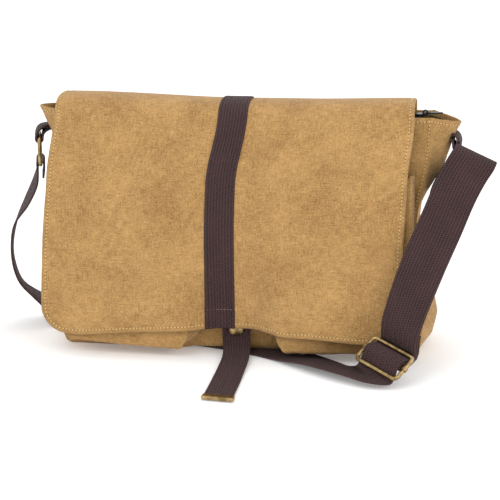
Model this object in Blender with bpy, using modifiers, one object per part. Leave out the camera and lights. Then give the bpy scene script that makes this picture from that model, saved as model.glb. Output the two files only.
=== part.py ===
"""A canvas messenger bag with a flap, two bellows pockets and a webbing shoulder strap.

Driving sizes are in millimetres; MM turns them into metres. +X is the bag's right as it is
looked at, -Y is its front and +Z is up. The bag stands on z = 0, with x = 0 at its middle.
"""

import math

import bmesh
import bpy
import numpy as np
from mathutils import Matrix, Vector

MM = 0.001

# ---------------------------------------------------------------- driving sizes
CANVAS = 1.6
LINING = 0.8
GAP = 0.4
WEBBING = 2.0
STRAP_WIDTH = 38.0
CLOSURE_WIDTH = 25.4

# height, panel half width, gusset half width, half depth, how far the front panel bulges
BODY = (
    (4.9, 160, 162, 41.0, 1.0),
    (14, 162, 171, 42.5, 2.0),
    (30, 163, 175, 43.0, 2.5),
    (55, 161, 169, 42.0, 3.0),
    (85, 157, 159, 38.5, 3.0),
    (112, 155.5, 151, 34.0, 3.0),
    (135, 158, 155, 29.0, 3.5),
    (155, 163, 167, 25.0, 4.0),
    (180, 167, 179, 20.0, 5.0),
    (208, 168, 187, 15.0, 6.0),
)
RIM = 208.0

BOTTOM_THICK = 4.4
CHANNEL_HEIGHT = 2.6
UNDER = (((-230.0, 42.0, 0.0), (0.0, -28.5, 0.0)), ((0.0, -28.5, 0.0), (90.0, -69.9, 0.0)))
BOARD_THICK = 2.2

POCKET_TOP = 160.0
POCKET_BOTTOM = 8.0
POCKET_INNER = 40.0
POCKET_OUTER = 153.0
POCKET_CORNER = 12.0
POCKET_FLARE = 10.0
# height, how far the pocket's face stands from the middle of the bag
POCKET_FACE = ((8, 71.0), (30, 69.0), (80, 60.0), (120, 51.0), (160, 40.5))

FLAP_HALF = 158.5
FLAP_CORNER = 22.0
# the flap's section from its hinge, over the top and down the front: y, z
FLAP_PATH = (
    (14.5, 222.6), (8.0, 223.8), (0.0, 224.0), (-9.0, 223.5), (-17.0, 221.0), (-24.0, 215.0),
    (-29.0, 206.0), (-35.5, 190.0), (-43.8, 165.0), (-51.5, 140.0), (-59.0, 112.0),
    (-66.2, 80.0), (-72.2, 50.0), (-76.5, 24.0),
)
FLAP_SHIFT_TOP = -4.0
FLAP_SHIFT_LOW = -12.0
DIP_DEPTH = 17.5
DIP_RAISE = 3.0
DIP_TOP = 130.0
DIP_FLAT = 8.0
DIP_REACH = 50.0
HINGE_Y = 17.0
HINGE_Z = 221.0

SNAP_X = 1.0
SNAP_Z = 24.0
TAB_HINGE_Z = 13.5
TAB_TURN = 14.0

RING_RADIUS = 1.75
RING_HALF = 21.5
RING_DROP = 23.5
RING_X = 189.0
RING_Z = 184.0
LEFT_TURN = math.radians(18)

SLIDER_CENTRE = Vector((136.0, -106.0, 21.0))
SLIDER_U = Vector((0.79, -0.58, -0.2)).normalized()
SLIDER_V = Vector((0.57, 0.59, 0.58))
SLIDER_V = (SLIDER_V - SLIDER_U * SLIDER_V.dot(SLIDER_U)).normalized()
SLIDER_N = SLIDER_U.cross(SLIDER_V)
SLIDER_WIRE = 1.6
SLIDER_LONG = 21.9
SLIDER_SHORT = 12.4

CANVAS_TAN = (0.52, 0.33, 0.13)
OLIVE = (0.16, 0.12, 0.05)
PLUM = (0.065, 0.035, 0.038)
BRASS = (0.45, 0.32, 0.14)
BLACK = (0.01, 0.01, 0.011)
BOARD_GREY = (0.2, 0.2, 0.19)


# ---------------------------------------------------------------- scene and helpers
def clear_scene():
    for obj in list(bpy.data.objects):
        bpy.data.objects.remove(obj)


def new_collection(name):
    collection = bpy.data.collections.new(name)
    bpy.context.scene.collection.children.link(collection)
    return collection


def new_material(name, color, roughness, metallic=0.0):
    material = bpy.data.materials.new(name)
    material.use_nodes = True
    shader = material.node_tree.nodes["Principled BSDF"]
    shader.inputs["Base Color"].default_value = (*color, 1.0)
    shader.inputs["Roughness"].default_value = roughness
    shader.inputs["Metallic"].default_value = metallic
    return material


def add_object(name, data, material, collection, origin=(0.0, 0.0, 0.0)):
    obj = bpy.data.objects.new(name, data)
    obj.location = Vector(origin) * MM
    data.materials.append(material)
    collection.objects.link(obj)
    return obj


def mesh_from(name, bm):
    bmesh.ops.recalc_face_normals(bm, faces=bm.faces)
    mesh = bpy.data.meshes.new(name)
    bm.to_mesh(mesh)
    bm.free()
    mesh.shade_smooth()
    mesh.set_sharp_from_angle(angle=math.radians(35))
    return mesh


def sheet(name, rows, thickness, material, collection, origin=(0.0, 0.0, 0.0), loop=False):
    """A sheet of cloth: a surface lofted through rows of points, given its thickness."""
    bm = bmesh.new()
    start = Vector(origin)
    grid = [[bm.verts.new((Vector(p) - start) * MM) for p in row] for row in rows]
    for row, following in zip(grid, grid[1:]):
        count = len(row) if loop else len(row) - 1
        for i in range(count):
            j = (i + 1) % len(row)
            bm.faces.new((row[i], row[j], following[j], following[i]))
    obj = add_object(name, mesh_from(name, bm), material, collection, origin)
    solidify = obj.modifiers.new("Thickness", "SOLIDIFY")
    solidify.thickness = thickness * MM
    solidify.offset = 0.0
    solidify.use_even_offset = True
    return obj


def curve_points(points, spacing):
    """A smooth curve through the given points, each stretch cut into steps near the spacing.

    A point may carry more numbers than its place: they are carried along smoothly too.
    """
    p = np.array(points, float)
    p = np.vstack([2 * p[0] - p[1], p, 2 * p[-1] - p[-2]])
    smooth = []
    for i in range(1, len(p) - 2):
        chord = [max(np.linalg.norm((p[k + 1] - p[k])[:3]), 1e-6) for k in (i - 1, i, i + 1)]
        t1 = chord[0] ** 0.5
        t2 = t1 + chord[1] ** 0.5
        t3 = t2 + chord[2] ** 0.5
        for t in np.linspace(t1, t2, max(int(round(chord[1] / spacing)), 1), endpoint=False):
            a1 = ((t1 - t) * p[i - 1] + t * p[i]) / t1
            a2 = ((t2 - t) * p[i] + (t - t1) * p[i + 1]) / (t2 - t1)
            a3 = ((t3 - t) * p[i + 1] + (t - t2) * p[i + 2]) / (t3 - t2)
            b1 = ((t2 - t) * a1 + t * a2) / t2
            b2 = ((t3 - t) * a2 + (t - t1) * a3) / (t3 - t1)
            smooth.append(((t2 - t) * b1 + (t - t1) * b2) / (t2 - t1))
    return smooth + [p[-2]]


def ribbon(name, route, width, thickness, material, collection, origin=(0.0, 0.0, 0.0)):
    """A flat webbing: route rows hold a point and the direction across the webbing."""
    rows = []
    for row in route:
        point, across = Vector(row[:3]), Vector(row[3:6]).normalized()
        rows.append([point - across * width / 2, point + across * width / 2])
    return sheet(name, rows, thickness, material, collection, origin)


def wire_loop(name, points, radius, material, collection, origin=(0.0, 0.0, 0.0)):
    """A closed loop of round wire through the points."""
    data = bpy.data.curves.new(name, "CURVE")
    data.dimensions = "3D"
    data.bevel_depth = radius * MM
    data.bevel_resolution = 2
    spline = data.splines.new("POLY")
    spline.points.add(len(points) - 1)
    for target, point in zip(spline.points, points):
        target.co = (*((Vector(point) - Vector(origin)) * MM), 1.0)
    spline.use_cyclic_u = True
    return add_object(name, data, material, collection, origin)


def turned(name, profile, centre, axis, material, collection):
    """A turned piece: profile is (radius, height) from its top, down the outside, about axis."""
    mesh = bpy.data.meshes.new(name)
    bm = bmesh.new()
    verts = [bm.verts.new((r * MM, 0.0, h * MM)) for r, h in profile]
    for first, second in zip(verts, verts[1:]):
        bm.edges.new((first, second))
    bm.to_mesh(mesh)
    bm.free()
    obj = add_object(name, mesh, material, collection, centre)
    screw = obj.modifiers.new("Turn", "SCREW")
    screw.steps = 20
    screw.render_steps = 20
    screw.use_merge_vertices = True
    screw.merge_threshold = 0.00002
    obj.rotation_mode = "QUATERNION"
    obj.rotation_quaternion = Vector((0.0, 0.0, 1.0)).rotation_difference(Vector(axis))
    return obj


def extruded(name, outline, offset, material, collection, origin=(0.0, 0.0, 0.0)):
    """A solid from a flat outline of points, moved through an offset."""
    bm = bmesh.new()
    start = Vector(origin)
    face = bm.faces.new([bm.verts.new((Vector(p) - start) * MM) for p in outline])
    lifted = bmesh.ops.extrude_face_region(bm, geom=[face])["geom"]
    moved = [item for item in lifted if isinstance(item, bmesh.types.BMVert)]
    bmesh.ops.translate(bm, verts=moved, vec=Vector(offset) * MM)
    return add_object(name, mesh_from(name, bm), material, collection, origin)


def box(name, size, centre, material, collection):
    bm = bmesh.new()
    bmesh.ops.create_cube(bm, size=1.0)
    bmesh.ops.scale(bm, vec=Vector(size) * MM, verts=bm.verts)
    return add_object(name, mesh_from(name, bm), material, collection, centre)


def cylinder(name, radius, length, centre, axis, material, collection):
    bm = bmesh.new()
    bmesh.ops.create_cone(bm, cap_ends=True, segments=16, radius1=radius * MM, radius2=radius * MM,
                          depth=length * MM)
    obj = add_object(name, mesh_from(name, bm), material, collection, centre)
    obj.rotation_mode = "QUATERNION"
    obj.rotation_quaternion = Vector((0.0, 0.0, 1.0)).rotation_difference(Vector(axis))
    return obj


def combine(obj, tool, operation):
    modifier = obj.modifiers.new(operation.title(), "BOOLEAN")
    modifier.operation = operation
    modifier.solver = "EXACT"
    modifier.object = tool
    tool.hide_render = True
    tool.display_type = "WIRE"


def soften(obj, width):
    bevel = obj.modifiers.new("Soft edge", "BEVEL")
    bevel.width = width * MM
    bevel.segments = 2
    bevel.limit_method = "ANGLE"


def rounded_outline(half_x, half_y, radius, height, steps=4):
    outline = []
    for quarter, (sx, sy) in enumerate(((1, 1), (-1, 1), (-1, -1), (1, -1))):
        for k in range(steps + 1):
            angle = math.pi / 2 * (quarter + k / steps)
            x = sx * (half_x - radius) + radius * math.cos(angle)
            y = sy * (half_y - radius) + radius * math.sin(angle)
            outline.append((x, y, height))
    return outline


# ---------------------------------------------------------------- the body
def body_at(z):
    """Panel half width, gusset half width, half depth and front bulge at a height."""
    heights = [row[0] for row in BODY]
    return [float(np.interp(z, heights, [row[k] for row in BODY])) for k in (1, 2, 3, 4)]


def panel_y(x, z, front=True):
    """The middle of the front or back panel's cloth at a place."""
    wide, _, deep, bulge = body_at(z)
    if not front:
        return deep + 1.0 - (x / wide) ** 2
    return -(deep + bulge * (1 - (x / wide) ** 2))


def gusset_x(t, z, inset=0.0):
    """The gusset's cloth at a height; t runs from -1 at the front seam to 1 at the back seam."""
    wide, tip, _, _ = body_at(z)
    return wide - 1.0 - inset + (tip - wide + 1.0) * (1 - abs(t) ** 1.5)


def make_body(canvas, board, parts, cutters):
    heights = (4.9, 9, 14, 30, 42, 55, 70, 85, 98, 112, 124, 135, 155, 168, 180, 194, RIM)
    for name, front in (("front_panel", True), ("back_panel", False)):
        rows = []
        for z in heights:
            wide = body_at(z)[0]
            top = 0.0 if front else 2.0 * z / RIM
            rows.append([(wide * t, panel_y(wide * t, z, front), z + top) for t in np.linspace(-1, 1, 13)])
        sheet(name, rows, CANVAS, canvas, parts)
    for name, side in (("gusset_left", -1), ("gusset_right", 1)):
        rows = []
        for z in heights:
            deep = body_at(z)[2] - CANVAS - GAP
            rows.append([(side * gusset_x(t, z), t * deep, z) for t in np.linspace(-1, 1, 9)])
        sheet(name, rows, CANVAS, canvas, parts)

    outline = rounded_outline(160, 41.5, 10, 0.0)
    bottom = extruded("bottom_panel", outline, (0, 0, BOTTOM_THICK), canvas, parts)
    soften(bottom, 1.0)
    for k, (start, end) in enumerate(UNDER):
        run = Vector(end) - Vector(start)
        size = (run.length + 10.0, STRAP_WIDTH + 5.0, 2 * CHANNEL_HEIGHT)
        channel = box(f"strap_channel_{k}", size, (Vector(start) + Vector(end)) / 2, canvas, cutters)
        channel.rotation_euler.z = math.atan2(run.y, run.x)
        combine(bottom, channel, "DIFFERENCE")

    low = BOTTOM_THICK + GAP
    extruded("base_board", rounded_outline(154, 37.5, 8, low), (0, 0, BOARD_THICK), board, parts)
    return low + BOARD_THICK + GAP + LINING / 2


def lining_ring(z):
    """The lining's outline at a height: front, right side, back, left side."""
    inset = CANVAS + GAP
    wide, _, deep, _ = body_at(z)
    ring = [(wide * t, panel_y(wide * t, z) + inset, z) for t in np.linspace(-0.975, 0.975, 11)]
    side = [(gusset_x(t, z, 4.0), t * (deep - inset - 1.5), z) for t in np.linspace(-0.8, 0.8, 5)]
    back = [(wide * t, panel_y(wide * t, z, False) - inset, z) for t in np.linspace(0.975, -0.975, 11)]
    return ring + side + back + [(-x, y, h) for x, y, h in reversed(side)]


def make_lining(floor, olive, parts):
    rows = [lining_ring(z) for z in (10, 14, 30, 55, 85, 112, 135, 155, 180, RIM - 3)]
    rows.insert(0, [(x * 0.97, y * 0.92, floor) for x, y, _ in rows[0]])
    bm = bmesh.new()
    grid = [[bm.verts.new(Vector(p) * MM) for p in row] for row in rows]
    for row, following in zip(grid, grid[1:]):
        for i, vert in enumerate(row):
            j = (i + 1) % len(row)
            bm.faces.new((vert, row[j], following[j], following[i]))
    bm.faces.new(list(reversed(grid[0])))
    obj = add_object("lining", mesh_from("lining", bm), olive, parts)
    solidify = obj.modifiers.new("Thickness", "SOLIDIFY")
    solidify.thickness = LINING * MM
    solidify.offset = 0.0
    solidify.use_even_offset = True


def make_zip(tape, black, parts, cutters):
    level = 206.8
    for name, side in (("zip_tape_front", -1), ("zip_tape_back", 1)):
        rows = []
        for x in (-150, -120, -80, -40, 0, 40, 80, 110, 125, 138, 148, 158.5):
            outer = panel_y(x, level, side < 0) - side * (CANVAS / 2 + GAP)
            inner = side * float(np.interp(x, (125, 148), (8.0, 1.9)))
            rows.append([(x, outer, level), (x, inner, level)])
        sheet(name, rows, 1.0, tape, parts)

    origin = (149.0, 0.0, 207.0)
    outline = [(5, 209.4), (5, 207.7), (1.1, 207.7), (1.1, 205.9), (5, 205.9), (5, 204.3)]
    outline += [(-y, z) for y, z in reversed(outline)]
    slider = extruded("zip_slider", [(149.0, y, z) for y, z in outline], (10.6, 0, 0), black, parts, origin)
    ring = turned("zip_lug", ((1.3, 1.0), (2.7, 1.0), (2.7, -1.0), (1.3, -1.0), (1.3, 1.0)), (161, 0, 210),
                  (0, 1, 0), black, cutters)
    combine(slider, ring, "UNION")

    outline = [(160.4, -3.0, 209.4), (160.4, 3.0, 209.4), (176, 2.4, 209.4), (176, -2.4, 209.4)]
    pull = extruded("zip_pull", outline, (0, 0, 1.2), black, parts, (161, 0, 210))
    slot = box("zip_pull_slot", (3.8, 2.9, 4.0), (163.5, 0, 210), black, cutters)
    combine(pull, slot, "DIFFERENCE")


# ---------------------------------------------------------------- pockets
def pocket_front(z):
    """The middle of a pocket's face cloth at a height."""
    face = float(np.interp(z, [row[0] for row in POCKET_FACE], [row[1] for row in POCKET_FACE]))
    return -(face - CANVAS / 2)


def pocket_path():
    """Down the pocket's inner side, along its bottom and up its outer side, as (x, z)."""
    inner, outer, low, corner = POCKET_INNER + 1, POCKET_OUTER - 1, POCKET_BOTTOM + CANVAS / 2, POCKET_CORNER
    path = [(inner, z) for z in np.linspace(POCKET_TOP, low + corner, 7)]
    for angle in (math.pi / 6, math.pi / 3):
        path.append((inner + corner * (1 - math.cos(angle)), low + corner * (1 - math.sin(angle))))
    path += [(x, low) for x in np.linspace(inner + corner, outer - corner, 5)]
    for angle in (math.pi / 6, math.pi / 3):
        path.append((outer - corner * (1 - math.sin(angle)), low + corner * (1 - math.cos(angle))))
    return path + [(outer, z) for z in np.linspace(low + corner, POCKET_TOP, 7)]


def make_pocket(side_name, side, canvas, parts):
    """A bellows pocket: a face, and a gusset round its two sides and bottom."""
    middle = (POCKET_INNER + POCKET_OUTER) / 2
    rows = []
    for x, z in pocket_path():
        outward = -1.0 if x < middle else 1.0
        flare = POCKET_FLARE if x < middle else 1.5
        on_side = min(abs(x - middle) / (POCKET_OUTER - 1 - middle), 1.0) ** 6
        front = pocket_front(z) + CANVAS + GAP
        row = []
        for share in (0.0, 0.33, 0.66, 1.0):
            fold = 3.0 * math.sin(math.pi * share)
            x_here = x + outward * on_side * (flare * (1 - share) - fold)
            back = panel_y(x_here, z) - CANVAS - GAP
            row.append((side * x_here, back + (front - back) * share, z))
        rows.append(row)
    sheet(f"pocket_{side_name}_gusset", rows, CANVAS, canvas, parts)

    rows = []
    for z in (7.4, 9, 12, 20, 45, 75, 105, 135, POCKET_TOP):
        above = z - 7.4
        inset = POCKET_CORNER - math.sqrt(POCKET_CORNER ** 2 - max(POCKET_CORNER - above, 0.0) ** 2)
        inner, outer = POCKET_INNER + inset, POCKET_OUTER - inset
        crown = 2.0 * min(above / 30, 1.0) * (POCKET_TOP - z + 30) / 180
        row = []
        for t in np.linspace(-1, 1, 9):
            x = (inner + outer) / 2 + (outer - inner) / 2 * t
            row.append((side * x, pocket_front(z) - crown * (1 - t ** 2), z))
        rows.append(row)
    sheet(f"pocket_{side_name}_face", rows, CANVAS, canvas, parts)


# ---------------------------------------------------------------- flap, closure strap, pull tab
def smooth_step(value):
    value = min(max(value, 0.0), 1.0)
    return value * value * (3 - 2 * value)


def flap_section():
    """Places down the flap's section: y, z, and the distance up from the low edge."""
    fine = curve_points([(y, z, 0.0) for y, z in FLAP_PATH], 1.0)
    total = len(fine) - 1
    steps = [0, 8, 16, 24, 31, 37, 43, 50, 60, 75, 95, 115, 135, 155, 175, 195]
    steps += [total - 22, total - 15, total - 8, total - 3, total]
    return [(float(fine[s][0]), float(fine[s][1]), float(total - s)) for s in steps]


def flap_dip(x, y, z):
    """How much the flap's low middle is drawn back towards the snap, from 0 to 1."""
    if y > 0:
        return 0.0
    reach = min(max((abs(x - SNAP_X) - DIP_FLAT) / (DIP_REACH - DIP_FLAT), 0.0), 1.0)
    return 0.5 * (1 + math.cos(math.pi * reach)) * smooth_step((DIP_TOP - z) / (DIP_TOP - 24.0))


def flap_shift(y, z):
    drift = smooth_step((215.0 - z) / 65.0) if y < -15 else 0.0
    return FLAP_SHIFT_TOP + (FLAP_SHIFT_LOW - FLAP_SHIFT_TOP) * drift


def flap_columns(low, high):
    """Places across the flap, close together over its dipped middle."""
    middle = np.linspace(-54, 54, 19)
    return np.concatenate([np.linspace(low, -54, 6)[:-1], middle, np.linspace(54, high, 6)[1:]])


def flap_rows(section, offset, shrink=0.0, half=None):
    """Rows of points on a surface offset outward from the middle of the flap's cloth."""
    rows = []
    for k, (y, z, above) in enumerate(section):
        before, after = section[max(k - 1, 0)], section[min(k + 1, len(section) - 1)]
        length = math.hypot(after[0] - before[0], after[1] - before[1])
        out_y, out_z = (after[1] - before[1]) / length, -(after[0] - before[0]) / length
        rise = max(FLAP_CORNER - above, 0.0)
        inset = FLAP_CORNER - math.sqrt(FLAP_CORNER ** 2 - rise ** 2) + shrink
        shift = flap_shift(y, z)
        across = flap_columns(shift - FLAP_HALF + inset, shift + FLAP_HALF - inset)
        if half:
            across = np.linspace(shift - half, shift + half, 5)
        row = []
        for x in across:
            dip = flap_dip(x, y, z)
            row.append((x, y + dip * DIP_DEPTH + out_y * offset, z + dip * DIP_RAISE + out_z * offset))
        rows.append(row)
    return rows


def make_flap(canvas, olive, webbing, parts):
    hinge = (0.0, HINGE_Y, HINGE_Z)
    section = flap_section()
    sheet("flap_canvas", flap_rows(section, 0.0), CANVAS, canvas, parts, hinge)
    inner = CANVAS / 2 + GAP + LINING / 2
    sheet("flap_lining", flap_rows(section[1:-1], -inner, 3.0), LINING, olive, parts, hinge)
    outer = CANVAS / 2 + 2 * GAP + WEBBING / 2
    closure = flap_rows(section[1:-2], outer, 0.0, CLOSURE_WIDTH / 2)
    sheet("closure_strap", closure, WEBBING, webbing, parts, hinge)

    rows = []
    for z in (188.0, 198.0, 208.0, 213.0, HINGE_Z - 1.5):
        reach = np.linspace(FLAP_SHIFT_TOP - FLAP_HALF + 2, FLAP_SHIFT_TOP + FLAP_HALF - 2, 9)
        rows.append([(x, max(panel_y(x, z - 2, False) + CANVAS + GAP, HINGE_Y), z) for x in reach])
    sheet("flap_anchor", rows, CANVAS, canvas, parts)


def make_pull_tab(webbing, brass, parts):
    """The pull tab's sewn top, its free length and metal tip, and the snap's pieces."""
    across = Vector((math.cos(math.radians(TAB_TURN)), -math.sin(math.radians(TAB_TURN)), 0.0))
    panel = panel_y(SNAP_X, SNAP_Z) - CANVAS / 2
    profile = ((0, 3.0), (2.2, 2.9), (2.2, 2.0), (1.6, 1.6), (1.6, 0.9), (5.0, 0.9), (5.0, 0), (0, 0))
    turned("snap_stud", profile, (SNAP_X, panel - GAP, SNAP_Z), (0, -1, 0), brass, parts)
    turned("snap_socket", ((0, 3.4), (5.5, 3.4), (5.5, 0), (2.6, 0), (2.6, 2.6), (0, 2.6)),
           (SNAP_X, panel - GAP - 1.3, SNAP_Z), (0, -1, 0), brass, parts)
    back = panel - GAP - 1.3 - 3.4 - 0.3
    middle = back - WEBBING / 2
    hinge = (SNAP_X, middle, TAB_HINGE_Z)
    route = [(SNAP_X, middle + y, z, 1.0, 0.0, 0.0) for y, z in ((-0.4, 44.0), (0, 34.0), (0, 22.0),
                                                               (0, TAB_HINGE_Z + 0.3))]
    ribbon("pull_tab_top", route, CLOSURE_WIDTH, WEBBING, webbing, parts, hinge)
    turned("snap_cap", ((0, 2.6), (2.6, 2.4), (4.8, 1.7), (6.2, 0.8), (6.8, 0.0), (0, 0.0)),
           (SNAP_X, middle - WEBBING / 2 - 0.3, SNAP_Z), (0, -1, 0), brass, parts)

    free = ((SNAP_X, middle, TAB_HINGE_Z - 0.3), (1.3, middle - 1.8, 9.8), (2.6, -61.5, 6.6),
            (4.0, -76.0, 4.2), (4.5, -98.0, 2.4), (5.0, -122.0, 1.7), (5.5, -146.0, 1.8), (6.0, -163.0, 2.4))
    points = curve_points(free, 6.0)
    turns = np.interp(np.linspace(0, 1, len(points)), (0, 0.15, 0.3, 1), (0, 10, 12, 6))
    route = [(*point, math.cos(math.radians(turn)), -math.sin(math.radians(turn)), 0.0)
             for point, turn in zip(points, turns)]
    ribbon("pull_tab", route, CLOSURE_WIDTH, WEBBING, webbing, parts, hinge)
    tip = box("pull_tab_tip", (CLOSURE_WIDTH + 1.6, 7.0, 3.2), (6.4, -167.2, 2.6), brass, parts)
    tip.rotation_euler.z = math.radians(-6)
    soften(tip, 0.8)


# ---------------------------------------------------------------- rings, tabs, slider, shoulder strap
def left_turned(x, y, z, *across):
    """A place on the left ring or its webbing, turned about the upright line through the ring."""
    c, s = math.cos(LEFT_TURN), math.sin(LEFT_TURN)
    place = (-RING_X + (x + RING_X) * c - y * s, (x + RING_X) * s + y * c, z)
    if not across:
        return place
    return (*place, across[0] * c - across[1] * s, across[0] * s + across[1] * c, across[2])


def make_ring(side_name, side, webbing, brass, parts):
    """A metal ring and the webbing tab that holds it to the gusset."""
    corner, points = 3.0, []
    for turn, (sy, low) in enumerate(((1, 0), (-1, 0), (-1, 1), (1, 1))):
        for k in range(4):
            angle = math.pi / 2 * (turn + k / 3)
            y = sy * (RING_HALF - corner) + corner * math.cos(angle)
            z = RING_Z - low * RING_DROP + (corner if low else -corner) + corner * math.sin(angle)
            points.append((side * RING_X, y, z) if side > 0 else left_turned(-RING_X, y, z))
    wire_loop(f"ring_{side_name}", points, RING_RADIUS, brass, parts, (side * RING_X, 0, RING_Z))

    turn_radius = RING_RADIUS + GAP + WEBBING / 2
    path = [(188.4, 205.0), (187.3, 199.0), (186.2, 192.0)]
    for angle in np.linspace(180, 360, 7):
        path.append((RING_X + turn_radius * math.cos(math.radians(angle)),
                     RING_Z + turn_radius * math.sin(math.radians(angle))))
    path += [(191.6, 190.0), (190.9, 197.0), (190.9, 204.6)]
    route = [(side * x, 0.0, z, 0.0, -1.0, 0.0) for x, z in path]
    if side < 0:
        route = [left_turned(*row) for row in route]
    ribbon(f"tab_{side_name}", route, STRAP_WIDTH, WEBBING, webbing, parts)


def on_slider(v, n):
    return (*(SLIDER_CENTRE + SLIDER_V * v + SLIDER_N * n), *SLIDER_U)


def make_slider(brass, parts, cutters):
    corner, points = 3.0, []
    for turn, (su, sv) in enumerate(((1, 1), (-1, 1), (-1, -1), (1, -1))):
        for k in range(4):
            angle = math.pi / 2 * (turn + k / 3)
            u = su * (SLIDER_LONG - corner) + corner * math.cos(angle)
            v = sv * (SLIDER_SHORT - corner) + corner * math.sin(angle)
            points.append(SLIDER_CENTRE + SLIDER_U * u + SLIDER_V * v)
    wire_loop("slider_frame", points, SLIDER_WIRE, brass, parts, SLIDER_CENTRE)

    bar = cylinder("slider_bar", SLIDER_WIRE, 2 * SLIDER_LONG, SLIDER_CENTRE, SLIDER_U, brass, parts)
    for k, side in enumerate((-1, 1)):
        place = SLIDER_CENTRE + SLIDER_U * (side * SLIDER_LONG)
        knob = cylinder(f"bar_knob_{k}", 2.7, 3.4, place, SLIDER_V, brass, cutters)
        combine(bar, knob, "UNION")
    for k, side in enumerate((-1, 1)):
        place = SLIDER_CENTRE + SLIDER_U * (side * SLIDER_LONG)
        hole = cylinder(f"bar_hole_{k}", SLIDER_WIRE + 0.3, 12.0, place, SLIDER_V, brass, cutters)
        combine(bar, hole, "DIFFERENCE")


def ring_loop(x, z, start, end, steps=7):
    """Webbing going round a ring's low bar; angles in degrees from +X towards +Z."""
    radius = RING_RADIUS + GAP + WEBBING / 2
    turns = [math.radians(angle) for angle in np.linspace(start, end, steps)]
    return [(x + radius * math.cos(a), 0.0, z + radius * math.sin(a), 0.0, -1.0, 0.0) for a in turns]


def offset_route(route, side, distances=(1.2, 1.2)):
    """A layer lying on one side of the band's middle, at distances given along its length."""
    moved = []
    for k, row in enumerate(route):
        share = k / (len(route) - 1)
        distance = side * float(np.interp(share, np.linspace(0, 1, len(distances)), distances))
        before, after = route[max(k - 1, 0)], route[min(k + 1, len(route) - 1)]
        along = Vector(after[:3]) - Vector(before[:3])
        normal = Vector(row[3:6]).cross(along).normalized()
        moved.append((*(Vector(row[:3]) + normal * distance), *row[3:6]))
    return moved


def make_strap(webbing, parts):
    """The shoulder strap: one long run, and a doubled stretch from the slider to the right ring."""
    low_bar = RING_Z - RING_DROP
    looped = [(-187.2, 0, 148, 0, -1, 0), (-186.0, 0, 155, 0, -1, 0)]
    looped += ring_loop(-RING_X, low_bar, 0, 180)
    looped += [(-191.8, 0, 154, 0, -1, 0), (-194.5, 0.5, 142, -0.12, -0.99, 0)]
    hanging = [left_turned(*row) for row in looped]
    hanging += [(-205, 2, 122, 0.1, -0.99, 0.02), (-218, 5, 101, 0.25, -0.96, 0.1),
                (-224.5, 9, 76, 0.3, -0.93, 0.2), (-224, 12, 55, 0.28, -0.93, 0.2),
                (-219, 14.5, 39.5, 0.26, -0.94, 0.2), (-208.5, 17.5, 28.5, 0.2, -0.96, 0.15),
                (-197.5, 20, 20, 0.05, -0.99, 0.1), (-189, 22, 12.5, -0.1, -0.99, 0.04),
                (-180.5, 23, 6, -0.2, -0.98, 0), (-168, 22.5, 2.0, -0.28, -0.96, 0),
                (-150, 18, 1.25, -0.29, -0.96, 0), (-110, 5.7, 1.25, -0.29, -0.96, 0),
                (-57, -10.5, 1.25, -0.29, -0.96, 0), (-18, -22.5, 1.25, -0.32, -0.95, 0),
                (0, -28.5, 1.25, -0.37, -0.93, 0), (30, -41.7, 1.25, -0.43, -0.90, 0),
                (42, -49, 1.3, -0.44, -0.90, 0.02), (54, -58.5, 2.2, -0.42, -0.90, 0.07),
                (70, -71.5, 4.0, -0.38, -0.91, 0.14),
                (88, -86, 4.9, -0.25, -0.95, 0.17), (103, -98, 5.4, 0.05, -0.99, 0.13),
                (115, -108.5, 6.6, 0.42, -0.90, -0.03)]
    hanging += [on_slider(v, n) for v, n in ((-17, -3.4), (-12.2, -3.3), (-6, 1.7), (-2.5, 4.9), (0, 5.5),
                                             (2.5, 4.9), (6, 2.2), (9, -1.0), (12.0, -3.3))]
    ribbon("strap_long", curve_points(hanging, 5.0), STRAP_WIDTH, WEBBING, webbing, parts)

    band = [on_slider(v, n) for v, n in ((12.5, -4.6), (16, -5.0))]
    band += [(148, -98, 44, 0.80, -0.55, -0.25), (155, -92, 68, 0.83, -0.45, -0.34),
             (161.4, -86, 85.5, 0.85, -0.35, -0.38), (168, -78, 102, 0.86, -0.25, -0.43),
             (178.6, -63, 125.7, 0.87, -0.15, -0.46), (190, -50, 153, 0.88, -0.1, -0.46),
             (198, -44, 168, 0.90, -0.08, -0.43), (203.5, -41, 176.5, 0.91, -0.07, -0.41),
             (205.4, -35.5, 180.5, 0.91, -0.07, -0.41), (204, -30, 177.0, 0.91, -0.07, -0.41),
             (199, -28, 168, 0.91, -0.07, -0.41), (192.5, -27.5, 156, 0.89, -0.1, -0.43),
             (187.5, -26, 146, 0.88, -0.1, -0.44), (185, -20, 138, 0.88, -0.1, -0.44),
             (185, -11, 136, 0.88, -0.15, -0.42), (186.5, -4, 140.5, 0.82, -0.4, -0.35),
             (188.2, -0.5, 149, 0.45, -0.88, -0.1), (189, 0, 155.5, 0, -1, 0)]
    right = [tuple(row) for row in curve_points(band, 5.0)]
    spread = (1.2, 1.2, 1.2, 1.2, 1.25, 1.3, 1.3, 1.3, 2.0, 2.6, 3.1)
    front = offset_route(right, 1, spread) + ring_loop(RING_X, low_bar, 190, 80, 5)
    ribbon("strap_front", front, STRAP_WIDTH, WEBBING, webbing, parts)
    sewn = offset_route(right[:6], -1, (3.6, 3.6))[::-1]
    sewn += [on_slider(v, n) for v, n in ((9, -7.6), (6, -5.9), (2.6, -3.5), (0, -3.0), (-2.1, -2.1),
                                          (-3.0, 0), (-2.1, 2.1), (0, 3.0), (2.1, 2.2), (4, 0.4),
                                          (6.5, -2.0), (9, -4.4))]
    back = sewn + offset_route(right, -1, spread) + ring_loop(RING_X, low_bar, -10, 62, 4)
    ribbon("strap_back", back, STRAP_WIDTH, WEBBING, webbing, parts)


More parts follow.
